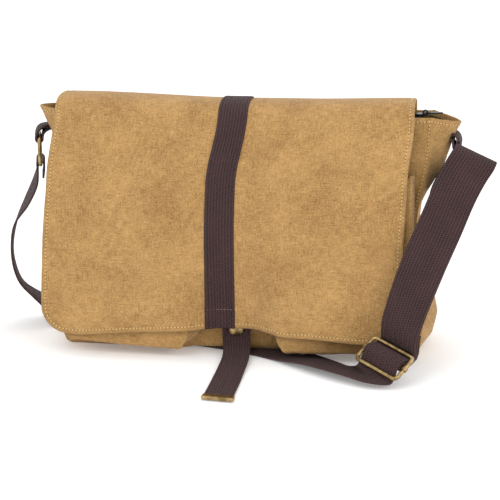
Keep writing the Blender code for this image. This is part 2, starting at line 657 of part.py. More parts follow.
def main():
    clear_scene()
    parts = new_collection("messenger_bag")
    cutters = new_collection("cutters")
    canvas = new_material("canvas", CANVAS_TAN, 0.9)
    olive = new_material("lining", OLIVE, 0.9)
    webbing = new_material("webbing", PLUM, 0.85)
    brass = new_material("brass", BRASS, 0.35, 1.0)
    black = new_material("zip", BLACK, 0.4)
    tape = new_material("zip_tape", BLACK, 0.9)
    board = new_material("board", BOARD_GREY, 0.8)

    floor = make_body(canvas, board, parts, cutters)
    make_lining(floor, olive, parts)
    make_zip(tape, black, parts, cutters)
    for side_name, side in (("left", -1), ("right", 1)):
        make_pocket(side_name, side, canvas, parts)
        make_ring(side_name, side, webbing, brass, parts)
    make_flap(canvas, olive, webbing, parts)
    make_pull_tab(webbing, brass, parts)
    make_slider(brass, parts, cutters)
    make_strap(webbing, parts)


main()
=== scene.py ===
import math

import bmesh
import bpy
import numpy as np
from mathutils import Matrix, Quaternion, Vector


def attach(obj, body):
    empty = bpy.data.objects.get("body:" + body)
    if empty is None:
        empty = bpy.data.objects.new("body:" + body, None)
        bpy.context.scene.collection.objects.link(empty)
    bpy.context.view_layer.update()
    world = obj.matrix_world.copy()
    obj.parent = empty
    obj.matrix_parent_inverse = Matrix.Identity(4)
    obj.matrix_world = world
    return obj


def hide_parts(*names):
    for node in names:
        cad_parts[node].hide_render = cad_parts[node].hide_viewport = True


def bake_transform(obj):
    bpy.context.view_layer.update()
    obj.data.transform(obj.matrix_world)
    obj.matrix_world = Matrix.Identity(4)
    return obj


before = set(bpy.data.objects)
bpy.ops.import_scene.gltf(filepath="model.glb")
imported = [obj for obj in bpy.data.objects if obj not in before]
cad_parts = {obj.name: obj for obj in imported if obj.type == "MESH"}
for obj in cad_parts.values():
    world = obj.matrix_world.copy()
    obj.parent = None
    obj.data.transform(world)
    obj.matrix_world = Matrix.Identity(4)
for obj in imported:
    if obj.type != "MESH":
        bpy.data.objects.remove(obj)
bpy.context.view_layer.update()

MM = 0.001
SCENE = bpy.context.scene

# ------------------------------------------------------------------ camera, floor and lights
AIM = Vector((0.005, 0.0, 0.082))
YAW, ELEVATION, ROLL = math.radians(10.0), math.radians(14.8), math.radians(-0.8)
DISTANCE = 1.25
LEVEL = math.cos(ELEVATION)
BACK = Vector((math.sin(YAW) * LEVEL, -math.cos(YAW) * LEVEL, math.sin(ELEVATION)))

camera_data = bpy.data.cameras.new("camera")
camera_data.sensor_width = 36.0
camera_data.lens = 99.0
camera = bpy.data.objects.new("camera", camera_data)
camera.location = AIM + BACK * DISTANCE
camera.rotation_mode = "QUATERNION"
camera.rotation_quaternion = (-BACK).to_track_quat("-Z", "Y") @ Quaternion((0, 0, 1), ROLL)
SCENE.collection.objects.link(camera)
SCENE.camera = camera


def area_light(name, place, size, power):
    data = bpy.data.lights.new(name, "AREA")
    data.shape = "DISK"
    data.size = size
    data.energy = power
    obj = bpy.data.objects.new(name, data)
    obj.location = place
    obj.rotation_mode = "QUATERNION"
    obj.rotation_quaternion = (AIM - Vector(place)).to_track_quat("-Z", "Y")
    SCENE.collection.objects.link(obj)


# ------------------------------------------------------------------ numbers shared with the solids, mm
# Rows of the body: height, half width at the seams, tip of the gusset, half depth, bulge of the front.
BODY = np.array((
    (0.0, 158, 160, 40.5, 0.5), (4.9, 160, 163, 41.0, 1.0), (14, 162, 171, 42.5, 2.0),
    (30, 163, 175, 43.0, 2.5), (55, 161, 169, 42.0, 3.0), (85, 157, 159, 38.5, 3.0),
    (112, 155.5, 151, 34.0, 3.0), (135, 158, 155, 29.0, 3.5), (155, 163, 167, 25.0, 4.0),
    (180, 167, 179, 20.0, 5.0), (208, 168, 187, 15.0, 6.0), (212, 168, 188, 14.5, 6.0)))
# Rows of the pockets' face: height and distance forward.
POCKET_FACE = np.array(((6, 70.5), (12, 71.0), (30, 69.0), (80, 60.0),
                        (120, 51.0), (160, 40.5), (165, 39.5)))
POCKET_INNER, POCKET_OUTER, POCKET_TOP = 40.0, 153.0, 160.0
FLAP_HALF, FLAP_CORNER = 158.5, 22.0
# The flap's section, as y and z from its seam on the back, over the top, to its lower edge.
FLAP_PATH = np.array((
    (18.0, 188.0), (18.2, 198.0), (18.3, 208.0), (18.2, 215.0), (17.3, 220.0), (14.0, 222.8),
    (8.0, 223.8), (0.0, 224.0), (-9.0, 223.5), (-17.0, 221.0), (-24.0, 215.0), (-29.0, 206.0),
    (-35.5, 190.0), (-43.8, 165.0), (-51.5, 140.0), (-59.0, 112.0), (-66.2, 80.0), (-72.2, 50.0),
    (-76.5, 24.0)))
RING_X, RING_Z, RING_DROP, RING_HALF, RING_WIRE = 189.0, 184.0, 23.5, 21.5, 1.75
SNAP_X = 1.0
TAB_Y = -52.3
LEFT_TURN = math.radians(18)
STRAP_WIDTH, CLOSURE_WIDTH, WEBBING_THICKNESS = 38.0, 25.4, 1.8
LOOP_RADIUS = RING_WIRE + 1.4
# The gussets' tips as they hang, which differ a little from side to side: height and distance out.
RIGHT_TIP = np.array(((0, 160), (4.9, 163), (14, 171), (30, 175), (55, 169), (85, 158), (112, 151),
                      (120, 153), (135, 160.5), (155, 171), (180, 184), (202, 192), (212, 195)))
LEFT_TIP = np.array(((0, 160), (4.9, 163), (14, 171), (30, 175), (55, 169), (85, 159), (112, 151),
                     (135, 155), (155, 165), (182, 175.5), (195, 180), (214, 186)))

# The strap slider's centre, and its directions along the bar, along the strap and out of its face.
SLIDER = Vector((136.0, -106.0, 21.0))
SLIDER_U = Vector((0.79, -0.58, -0.2)).normalized()
SLIDER_V = Vector((0.57, 0.59, 0.58))
SLIDER_V = (SLIDER_V - SLIDER_U * SLIDER_V.dot(SLIDER_U)).normalized()
SLIDER_N = SLIDER_U.cross(SLIDER_V)


# ------------------------------------------------------------------ noise and curves
def value_noise(x, y, seed):
    """Smooth noise from -1 to 1 with a unit cell."""
    table = np.random.RandomState(seed).rand(64, 64) * 2 - 1
    x0, y0 = np.floor(x).astype(int), np.floor(y).astype(int)
    fx, fy = x - x0, y - y0
    fx, fy = fx * fx * fx * (fx * (fx * 6 - 15) + 10), fy * fy * fy * (fy * (fy * 6 - 15) + 10)

    def at(i, j):
        return table[(x0 + i) % 64, (y0 + j) % 64]
    low = at(0, 0) * (1 - fx) + at(1, 0) * fx
    high = at(0, 1) * (1 - fx) + at(1, 1) * fx
    return low * (1 - fy) + high * fy


def layered(x, y, size, seed):
    """Three layers of noise, each half the size and half the strength of the one before."""
    total, weight = 0.0, 0.0
    for k in range(3):
        share = 0.5 ** k
        total = total + share * value_noise(x / size * 2 ** k + 7 * k, y / size * 2 ** k + 3 * k, seed + k)
        weight += share
    return total / weight


def creases(x, y, size, seed):
    """Thin ridges, from 0 to 1."""
    warp = value_noise(x / size * 0.7, y / size * 0.7, seed + 11) * size * 0.6
    height = np.abs(value_noise((x + warp) / size, (y - warp) / size, seed))
    return np.maximum(0.0, 1 - height * 2.2) ** 4.0


def smooth_step(value):
    value = np.clip(value, 0.0, 1.0)
    return value * value * (3 - 2 * value)


def curve(points, spacing):
    """A smooth curve through points, evenly spaced; columns after the third are carried along."""
    p = np.array(points, float)
    p = np.vstack([2 * p[0] - p[1], p, 2 * p[-1] - p[-2]])
    out = []
    for i in range(1, len(p) - 2):
        chord = [max(np.linalg.norm((p[k + 1] - p[k])[:3]), 1e-6) for k in (i - 1, i, i + 1)]
        t1 = chord[0] ** 0.5
        t2 = t1 + chord[1] ** 0.5
        t3 = t2 + chord[2] ** 0.5
        for t in np.linspace(t1, t2, max(int(round(chord[1] / spacing)), 1), endpoint=False):
            a1 = ((t1 - t) * p[i - 1] + t * p[i]) / t1
            a2 = ((t2 - t) * p[i] + (t - t1) * p[i + 1]) / (t2 - t1)
            a3 = ((t3 - t) * p[i + 1] + (t - t2) * p[i + 2]) / (t3 - t2)
            b1 = ((t2 - t) * a1 + t * a2) / t2
            b2 = ((t3 - t) * a2 + (t - t1) * a3) / (t3 - t1)
            out.append(((t2 - t) * b1 + (t - t1) * b2) / (t2 - t1))
    return np.array(out + [p[-2]])


def lengths_along(points):
    """The distance from the first point to each point."""
    steps = np.linalg.norm(np.diff(np.asarray(points)[:, :3], axis=0), axis=1)
    return np.concatenate([[0.0], np.cumsum(steps)])


def grid_normals(grid, loop=False):
    """Unit normals of a grid of points; loop says that its last column meets its first."""
    if loop:
        across = np.roll(grid, -1, axis=1) - np.roll(grid, 1, axis=1)
    else:
        across = np.gradient(grid, axis=1)
    normal = np.cross(across, np.gradient(grid, axis=0))
    return normal / np.maximum(np.linalg.norm(normal, axis=2, keepdims=True), 1e-9)


# ------------------------------------------------------------------ making meshes
def new_object(name, mesh, material, body, smooth=True):
    mesh.materials.append(material)
    if smooth:
        mesh.shade_smooth()
    obj = bpy.data.objects.new(name, mesh)
    SCENE.collection.objects.link(obj)
    if body:
        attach(obj, body)
    return obj


def grid_mesh(name, grid, uv, loop=False, flip=False, cap_first=False):
    """A mesh of quads from rows of points in mm; uv in metres, one pair a point."""
    rows, columns = grid.shape[:2]
    index = np.arange(rows * columns).reshape(rows, columns)
    if loop:
        index = np.concatenate([index, index[:, :1]], axis=1)
        uv = np.concatenate([uv, uv[:, :1] + (uv[:, -1:] - uv[:, -2:-1])], axis=1)
    quads = np.stack([index[:-1, :-1], index[:-1, 1:], index[1:, 1:], index[1:, :-1]], axis=-1)
    corners = np.stack([uv[:-1, :-1], uv[:-1, 1:], uv[1:, 1:], uv[1:, :-1]], axis=-2)
    if flip:
        quads, corners = quads[..., ::-1], corners[..., ::-1, :]
    faces = quads.reshape(-1, 4).tolist()
    corners = corners.reshape(-1, 2)
    if cap_first:
        ring = index[0, :columns].tolist()
        faces.append(ring if flip else ring[::-1])
        corners = np.concatenate([corners, grid[0, :, :2] * MM])
    mesh = bpy.data.meshes.new(name)
    mesh.from_pydata((grid.reshape(-1, 3) * MM).tolist(), [], faces)
    layer = mesh.uv_layers.new(name="UVMap")
    layer.data.foreach_set("uv", corners.ravel())
    mesh.validate()
    return mesh


def cloth(name, grid, uv, thickness, material, body, offset=0.0, **shape):
    """A sheet with a thickness in mm, laid on a grid of points."""
    obj = new_object(name, grid_mesh(name, grid, uv, **shape), material, body)
    solidify = obj.modifiers.new("Thickness", "SOLIDIFY")
    solidify.thickness = thickness * MM
    solidify.offset = offset
    return obj


def grid_uv(grid):
    """Distances across and along a grid, in metres."""
    across = np.concatenate([np.zeros((grid.shape[0], 1)),
                             np.cumsum(np.linalg.norm(np.diff(grid, axis=1), axis=2), axis=1)], axis=1)
    along = np.concatenate([np.zeros((1, grid.shape[1])),
                            np.cumsum(np.linalg.norm(np.diff(grid, axis=0), axis=2), axis=0)], axis=0)
    middle = across.mean(axis=0, keepdims=True).repeat(grid.shape[0], axis=0)
    down = along.mean(axis=1, keepdims=True).repeat(grid.shape[1], axis=1)
    return np.stack([middle, down], axis=-1) * MM


def ribbon(name, route, width, body):
    """Webbing with rounded edges: route rows hold a point, the direction across and a width factor."""
    route = np.asarray(route, float)
    points, across = route[:, :3], route[:, 3:6]
    across = across / np.linalg.norm(across, axis=1, keepdims=True)
    along = np.gradient(points, axis=0)
    normal = np.cross(across, along)
    normal /= np.maximum(np.linalg.norm(normal, axis=1, keepdims=True), 1e-9)
    factor = (route[:, 6:7] if route.shape[1] > 6 else np.ones((len(route), 1))) * np.ones((1, 3))
    half, rim = width / 2, WEBBING_THICKNESS / 2
    section = [(-half, 0.0)] + [(-half + rim * k, rim * h) for k, h in ((0.3, 0.7), (0.9, 1.0))]
    section += [(x, rim) for x in np.linspace(-half * 0.8, half * 0.8, 7)]
    section += [(half - rim * k, rim * h) for k, h in ((0.9, 1.0), (0.3, 0.7))] + [(half, 0.0)]
    section += [(x, -h) for x, h in section[-2:0:-1]]
    grid = np.stack([points + across * x * factor + normal * h for x, h in section], axis=1)
    along_mm = lengths_along(points)
    uv = np.stack(np.broadcast_arrays(np.array([x + half for x, _ in section])[None, :],
                                      along_mm[:, None]), axis=-1) * MM
    mesh = grid_mesh(name, grid, uv, loop=True)
    count, last = len(section), (len(points) - 1) * len(section)
    bm = bmesh.new()
    bm.from_mesh(mesh)
    bm.verts.ensure_lookup_table()
    layer = bm.loops.layers.uv.active
    for start, turn in ((0, -1), (last, 1)):
        ring = [bm.verts[start + k] for k in range(count)][::turn]
        face = bm.faces.new(ring)
        for loop in face.loops:
            loop[layer].uv = (loop.vert.co.x, loop.vert.co.z)
    bmesh.ops.recalc_face_normals(bm, faces=bm.faces)
    bm.to_mesh(mesh)
    bm.free()
    return new_object(name, mesh, WEBBING, body)


def wire_loop(name, points, body):
    """A closed loop of brass wire."""
    data = bpy.data.curves.new(name, "CURVE")
    data.dimensions = "3D"
    data.bevel_depth = RING_WIRE * MM
    data.bevel_resolution = 5
    spline = data.splines.new("POLY")
    spline.points.add(len(points) - 1)
    for target, point in zip(spline.points, points):
        target.co = (*(Vector(point) * MM), 1.0)
    spline.use_cyclic_u = True
    data.materials.append(BRASS)
    obj = bpy.data.objects.new(name, data)
    SCENE.collection.objects.link(obj)
    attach(obj, body)
    return obj


def tube_rings(rings, verts, faces):
    """Add a closed tube through rings of points, with a face over each end."""
    base, sides = len(verts), len(rings[0])
    for ring in rings:
        verts += ring
    for k in range(len(rings) - 1):
        for s in range(sides):
            a, b = base + k * sides + s, base + k * sides + (s + 1) % sides
            faces.append((a, b, b + sides, a + sides))
    last = base + (len(rings) - 1) * sides
    faces.append([base + s for s in range(sides)][::-1])
    faces.append([last + s for s in range(sides)])


def circle(centre, first, second, radius, sides=6):
    angles = [2 * math.pi * s / sides for s in range(sides)]
    return [(centre + (first * math.cos(a) + second * math.sin(a)) * radius) * MM for a in angles]


def stitches(name, lines, material, body, pitch=3.1, length=2.2, radius=0.42, lift=0.25, holes=True):
    """Short lengths of thread along lines of (points, normals) in mm, with a needle hole after each."""
    stations = ((-0.5, 0.25), (-0.42, 0.75), (-0.15, 1.0), (0.15, 1.0), (0.42, 0.75), (0.5, 0.25))
    verts, faces, dark = [], [], []
    for points, normals in lines:
        points, normals = np.asarray(points, float), np.asarray(normals, float)
        run = lengths_along(points)
        count = max(int(run[-1] // pitch), 1)
        for k in range(count):
            middle = (k + 0.5) * run[-1] / count
            ends = [np.array([np.interp(middle + e * length, run, points[:, c]) for c in range(3)])
                    for e in (-0.5, 0.5)]
            normal = np.array([np.interp(middle, run, normals[:, c]) for c in range(3)])
            normal /= np.linalg.norm(normal)
            along = ends[1] - ends[0]
            size = np.linalg.norm(along)
            along /= size
            side = np.cross(normal, along)
            centre = (ends[0] + ends[1]) / 2
            tube_rings([circle(centre + along * at * size + normal * (lift - 2.8 * lift * abs(at)),
                               side, normal, radius * swell) for at, swell in stations], verts, faces)
            if holes:
                hole, before = centre + along * pitch / 2, len(faces)
                tube_rings([circle(hole + normal * high, side, along, wide)
                            for high, wide in ((-0.3, 0.5), (lift * 0.6, 0.42))], verts, faces)
                dark += range(before, len(faces))
    mesh = bpy.data.meshes.new(name)
    mesh.from_pydata(verts, [], faces)
    made = new_object(name, mesh, material, body)
    if holes:
        mesh.materials.append(HOLE)
        for k in dark:
            mesh.polygons[k].material_index = 1
    return made


# ------------------------------------------------------------------ materials
class Nodes:
    """A small helper that writes a material's node graph."""

    def __init__(self, name, color=None, roughness=0.8, metallic=0.0):
        self.material = bpy.data.materials.new(name)
        self.material.use_nodes = True
        self.tree = self.material.node_tree
        self.shader = self.tree.nodes["Principled BSDF"]
        self.shader.inputs["Roughness"].default_value = roughness
        self.shader.inputs["Metallic"].default_value = metallic
        if color:
            self.shader.inputs["Base Color"].default_value = (*color, 1)

    def node(self, kind, **values):
        made = self.tree.nodes.new(kind)
        for key, value in values.items():
            setattr(made, key, value)
        return made

    def put(self, socket, value):
        """Link a socket to another one, or give it a value."""
        if isinstance(value, bpy.types.NodeSocket):
            self.tree.links.new(value, socket)
        else:
            socket.default_value = value

    def math(self, operation, a, b=0.0):
        made = self.node("ShaderNodeMath", operation=operation)
        self.put(made.inputs[0], a)
        self.put(made.inputs[1], b)
        return made.outputs[0]

    def split(self, vector):
        made = self.node("ShaderNodeSeparateXYZ")
        self.put(made.inputs[0], vector)
        return made.outputs

    def uv(self):
        return self.split(self.node("ShaderNodeUVMap", uv_map="UVMap").outputs[0])[:2]

    def place(self):
        return self.node("ShaderNodeTexCoord").outputs["Object"]

    def vector(self, x, y):
        made = self.node("ShaderNodeCombineXYZ")
        self.put(made.inputs[0], x)
        self.put(made.inputs[1], y)
        return made.outputs[0]

    def noise(self, vector, scale, detail=3.0, roughness=0.55):
        made = self.node("ShaderNodeTexNoise")
        self.put(made.inputs["Vector"], vector)
        made.inputs["Scale"].default_value = scale
        made.inputs["Detail"].default_value = detail
        made.inputs["Roughness"].default_value = roughness
        return made.outputs[0]

    def remap(self, value, low, high, to_low=0.0, to_high=1.0):
        made = self.node("ShaderNodeMapRange")
        self.put(made.inputs[0], value)
        for k, number in enumerate((low, high, to_low, to_high)):
            made.inputs[k + 1].default_value = number
        return made.outputs[0]

    def mix(self, fac, a, b):
        made = self.node("ShaderNodeMix", data_type="RGBA")
        self.put(made.inputs[0], fac)
        self.put(made.inputs[6], (*a, 1) if isinstance(a, tuple) else a)
        self.put(made.inputs[7], (*b, 1) if isinstance(b, tuple) else b)
        return made.outputs[2]

    def bump(self, height, distance):
        made = self.node("ShaderNodeBump")
        made.inputs["Strength"].default_value = 1.0
        made.inputs["Distance"].default_value = distance
        self.put(made.inputs["Height"], height)
        self.put(self.shader.inputs["Normal"], made.outputs[0])

    def color(self, socket):
        self.put(self.shader.inputs["Base Color"], socket)


def woven(name, dark, light, pitch, mottle=1.0, bump=0.00018, painted_shadow=0.0):
    """Plain weave: threads both ways, slubs, slow changes of shade, and a painted shadow low on the right,
    where the flap shades the pocket.
    """
    n = Nodes(name, roughness=0.92)
    u, v = n.uv()
    turn = 2 * math.pi / pitch
    warp = n.math("SINE", n.math("MULTIPLY", u, turn))
    weft = n.math("SINE", n.math("MULTIPLY", v, turn))
    weave = n.math("MULTIPLY", warp, weft)
    along = n.noise(n.vector(n.math("MULTIPLY", u, 1400), n.math("MULTIPLY", v, 110)), 1.0, 2.0)
    across = n.noise(n.vector(n.math("MULTIPLY", u, 110), n.math("MULTIPLY", v, 1400)), 1.0, 2.0)
    slub = n.math("ADD", along, across)
    cell = n.vector(u, v)
    blotch = n.noise(cell, 22.0, 4.0, 0.6)
    fine = n.noise(cell, 160.0, 3.0, 0.7)
    shade = n.math("ADD", n.remap(slub, 0.6, 1.4, -0.5, 0.5), n.math("MULTIPLY", weave, 0.14))
    shade = n.math("ADD", shade, n.remap(blotch, 0.3, 0.7, -0.30 * mottle, 0.30 * mottle))
    shade = n.math("ADD", shade, n.remap(fine, 0.3, 0.7, -0.22 * mottle, 0.22 * mottle))
    grain = n.noise(cell, 620.0, 2.0, 0.6)
    shade = n.math("ADD", shade, n.remap(grain, 0.32, 0.68, -0.34, 0.34))
    tone = n.mix(n.remap(shade, -0.9, 0.9), dark, light)
    # Painted shadow: the colour goes darker towards the right and towards the bottom, standing in for the
    # shade the flap casts on the pocket.
    if painted_shadow:
        x, _, z = n.split(n.place())
        shadow_patch = n.math("MULTIPLY", n.remap(x, 0.055, 0.105), n.remap(z, 0.026, 0.046, painted_shadow, 0.0))
        tone = n.mix(shadow_patch, tone, tuple(c * 0.62 for c in dark))
    n.color(tone)
    height = n.math("ADD", n.math("MULTIPLY", weave, 0.35), n.remap(slub, 0.5, 1.5, -0.6, 0.6))
    n.bump(height, bump)
    n.shader.inputs["Sheen Weight"].default_value = 0.12
    n.shader.inputs["Sheen Roughness"].default_value = 0.6
    n.shader.inputs["Specular IOR Level"].default_value = 0.15
    return n.material


def herringbone(name, dark, light, rib, pick):
    """Webbing: ribs along its length, each with slanting picks that turn at the next rib."""
    n = Nodes(name, roughness=0.78)
    u, v = n.uv()
    place = n.math("DIVIDE", u, rib)
    cell = n.math("FLOOR", place)
    inside = n.math("SUBTRACT", place, cell)
    side = n.math("SUBTRACT", n.math("MULTIPLY", n.math("MODULO", cell, 2.0), 2.0), 1.0)
    lean = n.math("MULTIPLY", n.math("MULTIPLY", inside, side), 0.9)
    phase = n.math("MULTIPLY", n.math("ADD", n.math("DIVIDE", v, pick), lean), 2 * math.pi)
    picks = n.math("SINE", phase)
    crown = n.math("SINE", n.math("MULTIPLY", inside, math.pi))
    height = n.math("ADD", n.math("MULTIPLY", crown, 0.8), n.math("MULTIPLY", picks, 0.45))
    fuzz = n.noise(n.vector(u, v), 900.0, 2.0)
    slow = n.noise(n.vector(u, v), 35.0, 3.0)
    shade = n.math("ADD", n.remap(height, -0.45, 1.25, 0.0, 0.8), n.remap(fuzz, 0.3, 0.7, -0.1, 0.15))
    shade = n.math("ADD", shade, n.remap(slow, 0.3, 0.7, -0.08, 0.08))
    n.color(n.mix(shade, dark, light))
    n.bump(height, 0.0006)
    n.shader.inputs["Sheen Weight"].default_value = 0.05
    n.shader.inputs["Specular IOR Level"].default_value = 0.25
    return n.material


def metal(name, dark, light, roughness):
    n = Nodes(name, roughness=roughness, metallic=1.0)
    patina = n.noise(n.place(), 140.0, 4.0, 0.65)
    scratch = n.noise(n.place(), 900.0, 2.0)
    n.color(n.mix(n.remap(patina, 0.35, 0.65), dark, light))
    n.put(n.shader.inputs["Roughness"], n.remap(patina, 0.3, 0.7, roughness + 0.14, roughness - 0.08))
    n.bump(scratch, 0.00002)
    return n.material


def thread(name, color):
    n = Nodes(name, color, roughness=0.6)
    twist = n.noise(n.place(), 1600.0, 2.0)
    n.color(n.mix(twist, tuple(c * 0.7 for c in color), color))
    n.bump(twist, 0.0001)
    return n.material


TAN = ((0.19, 0.098, 0.026), (0.60, 0.355, 0.135))
CANVAS = woven("canvas_weave", *TAN, 0.0012)
# Canvas with the flap's shadow painted low on its right, used for the right pocket.
POCKET_SHADOW_CANVAS = woven("pocket_shadow_canvas_weave", *TAN, 0.0012, painted_shadow=0.85)
LINING = woven("lining_weave", (0.075, 0.052, 0.018), (0.15, 0.11, 0.045), 0.0008, 0.5, 0.00006)
WEBBING = herringbone("webbing_herringbone", (0.0035, 0.0018, 0.002), (0.102, 0.048, 0.049), 0.0026, 0.0021)
BRASS = metal("antique_brass", (0.20, 0.13, 0.05), (0.50, 0.36, 0.17), 0.34)
THREAD = thread("golden_thread", (0.80, 0.56, 0.24))
HOLE = Nodes("needle_hole", (0.09, 0.045, 0.014), 0.9).material
DARK_THREAD = thread("dark_thread", (0.05, 0.027, 0.026))
BROWN_THREAD = thread("brown_thread", (0.30, 0.18, 0.15))
TAPE = woven("zip_tape_weave", (0.008, 0.008, 0.009), (0.03, 0.03, 0.032), 0.0007, 0.4, 0.00005)
BLACK = Nodes("black_enamel", (0.012, 0.012, 0.013), 0.28, 0.6).material
BOARD = Nodes("board_grey", (0.2, 0.2, 0.19), 0.8).material


# ------------------------------------------------------------------ shoulder strap
def on_slider(v, n):
    """A point of the route at the slider: v along the strap and n out of the slider's face, in mm."""
    return (*(SLIDER + SLIDER_V * v + SLIDER_N * n), *SLIDER_U)


def left_turned(x, y, z, *across):
    """A place on the left ring or its webbing, turned about the upright line through the ring."""
    c, s = math.cos(LEFT_TURN), math.sin(LEFT_TURN)
    place = (-RING_X + (x + RING_X) * c - y * s, (x + RING_X) * s + y * c, z)
    if not across:
        return place
    return (*place, across[0] * c - across[1] * s, across[0] * s + across[1] * c, *across[2:])


def ring_loop(x, z, start, end, steps=9):
    """Webbing round the wire of a ring whose bar is at x and z, between two angles in degrees."""
    turns = [math.radians(angle) for angle in np.linspace(start, end, steps)]
    return [(x + LOOP_RADIUS * math.cos(a), 0.0, z + LOOP_RADIUS * math.sin(a), 0.0, -1.0, 0.0)
            for a in turns]


def offset_route(route, side, distances):
    """The route moved out of its own face, by distances that are spread evenly along it."""
    moved = []
    for k, row in enumerate(route):
        share = k / (len(route) - 1)
        distance = side * float(np.interp(share, np.linspace(0, 1, len(distances)), distances))
        before, after = route[max(k - 1, 0)], route[min(k + 1, len(route) - 1)]
        along = Vector(after[:3]) - Vector(before[:3])
        normal = Vector(row[3:6]).cross(along).normalized()
        moved.append((*(Vector(row[:3]) + normal * distance), *row[3:6]))
    return moved


def make_straps():
    low_bar = RING_Z - RING_DROP
    looped = [(-187.2, 0, 148, 0, -1, 0), (-186.0, 0, 155, 0, -1, 0)]
    looped += ring_loop(-RING_X, low_bar, 0, 180)
    looped += [(-191.8, 0, 154, 0, -1, 0), (-194.5, 0.5, 142, 0.08, -0.99, 0)]
    hanging = [left_turned(*row) for row in looped]
    hanging += [(-205, 2, 122, 0.38, -0.92, 0.02), (-218, 5, 101, 0.27, -0.95, 0.1),
                (-224.5, 9, 76, 0.3, -0.93, 0.2), (-224, 12, 55, 0.28, -0.93, 0.2),
                (-219, 14.5, 39.5, 0.26, -0.94, 0.2), (-208.5, 17.5, 28.5, 0.2, -0.96, 0.15),
                (-197.5, 20, 20, 0.05, -0.99, 0.1), (-189, 22, 12.5, -0.1, -0.99, 0.04),
                (-180.5, 23, 6, -0.2, -0.98, 0), (-168, 22.5, 2.0, -0.28, -0.96, 0),
                (-150, 18, 1.25, -0.29, -0.96, 0), (-110, 5.7, 1.25, -0.29, -0.96, 0),
                (-57, -10.5, 1.25, -0.29, -0.96, 0), (-18, -22.5, 1.25, -0.32, -0.95, 0),
                (0, -28.5, 1.25, -0.37, -0.93, 0), (30, -41.7, 1.25, -0.43, -0.90, 0),
                (42, -49, 1.3, -0.44, -0.90, 0.02), (54, -58.5, 2.2, -0.42, -0.90, 0.07),
                (70, -71.5, 4.0, -0.38, -0.91, 0.14),
                (88, -86, 4.9, -0.25, -0.95, 0.17), (103, -98, 5.4, 0.05, -0.99, 0.13),
                (115, -108.5, 6.6, 0.42, -0.90, -0.03)]
    hanging += [on_slider(v, n) for v, n in ((-17, -3.4), (-12.2, -3.3), (-6, 1.7), (-2.5, 4.9), (0, 5.5),
                                             (2.5, 4.9), (6, 2.2), (9, -1.0), (12.0, -3.3))]
    band = [on_slider(v, n) for v, n in ((12.5, -4.6), (16, -5.0))]
    band += [(148, -98, 44, 0.80, -0.55, -0.25), (155, -92, 68, 0.83, -0.45, -0.34),
             (161.4, -86, 85.5, 0.85, -0.35, -0.38), (168, -78, 102, 0.86, -0.25, -0.43),
             (178.6, -63, 125.7, 0.87, -0.15, -0.46), (190, -50, 153, 0.88, -0.1, -0.46),
             (198, -44, 168, 0.90, -0.08, -0.43), (203.5, -41, 176.5, 0.91, -0.07, -0.41),
             (205.4, -35.5, 180.5, 0.91, -0.07, -0.41), (204, -30, 177.0, 0.91, -0.07, -0.41),
             (199, -28, 168, 0.91, -0.07, -0.41), (192.5, -27.5, 156, 0.89, -0.1, -0.43),
             (187.5, -26, 146, 0.88, -0.1, -0.44), (185, -20, 138, 0.88, -0.1, -0.44),
             (185, -11, 136, 0.88, -0.15, -0.42), (186.5, -4, 140.5, 0.82, -0.4, -0.35),
             (188.2, -0.5, 149, 0.45, -0.88, -0.1), (189, 0, 155.5, 0, -1, 0)]
    right = [tuple(row) for row in curve(band, 3.0)]
    spread = (1.2, 1.2, 1.2, 1.2, 1.25, 1.3, 1.3, 1.3, 2.0, 2.6, 3.1)
    front = offset_route(right, 1, spread) + ring_loop(RING_X, low_bar, 190, 80, 7)
    sewn = offset_route(right[:9], -1, (3.6, 3.6))[::-1]
    sewn += [on_slider(v, n) for v, n in ((9, -7.6), (6, -5.9), (2.6, -3.5), (0, -3.0), (-2.1, -2.1),
                                          (-3.0, 0), (-2.1, 2.1), (0, 3.0), (2.1, 2.2), (4, 0.4),
                                          (6.5, -2.0), (9, -4.4))]
    back = sewn + offset_route(right, -1, spread) + ring_loop(RING_X, low_bar, -10, 62, 6)
    routes = {"strap_long": curve(hanging, 3.0),
              "strap_front": np.array(front),
              "strap_back": np.array(back)}
    for node, route in routes.items():
        piece = ribbon(f"{node}_webbing", route, STRAP_WIDTH, None)
        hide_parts(node)
        if node == "strap_long":
            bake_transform(piece)
        else:
            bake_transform(piece)


make_straps()


# ------------------------------------------------------------------ the body
def body_at(z):
    """The body's half width, gusset tip, half depth and front bulge at a height."""
    return [np.interp(z, BODY[:, 0], BODY[:, k]) for k in (1, 2, 3, 4)]


def under_strap(x, y):
    """How much the bottom is lifted over the strap that passes under the bag, from 0 to 1."""
    middle = np.interp(x, (-230, 0, 90), (42.0, -28.5, -69.9))
    away = np.abs(y - middle) * np.where(x < 0, 0.956, 0.91)
    return smooth_step((27.0 - away) / 6.0)


BASE_SCALES = (0.02, 0.25, 0.5, 0.75, 0.9, 0.97)
BASE_RINGS = len(BASE_SCALES)
STRAP_LIFT = 2.6


def ring_shares():
    """Places round the body as (side, share), closer near seams; sides are front, right, back, left."""
    near = np.array((0.0, 0.007, 0.014, 0.024, 0.04))
    wide = np.concatenate([near, np.linspace(0.06, 0.94, 52), 1 - near[::-1]])
    deep = np.concatenate([(0.0, 0.03, 0.07), np.linspace(0.12, 0.88, 19), (0.93, 0.97, 1.0)])
    out = []
    for side in range(4):
        out += [(side, share) for share in (wide if side % 2 == 0 else deep)[:-1]]
    return out


def body_point(side, share, z, inset):
    wide, _, deep, bulge = body_at(z)
    tip = np.interp(z, *(RIGHT_TIP if side == 1 else LEFT_TIP).T)
    deep, wide = deep - inset, wide - inset
    t = share * 2 - 1
    if side == 0:
        return np.stack([wide * t, -(deep + bulge * (1 - t * t)), z], axis=-1)
    if side == 2:
        return np.stack([-wide * t, deep + 1.0 - t * t, z], axis=-1)
    x = wide + (tip - inset - wide) * (1 - np.abs(t) ** 1.6)
    y = t * deep
    return np.stack([x, y, z], axis=-1) if side == 1 else np.stack([-x, -y, z], axis=-1)


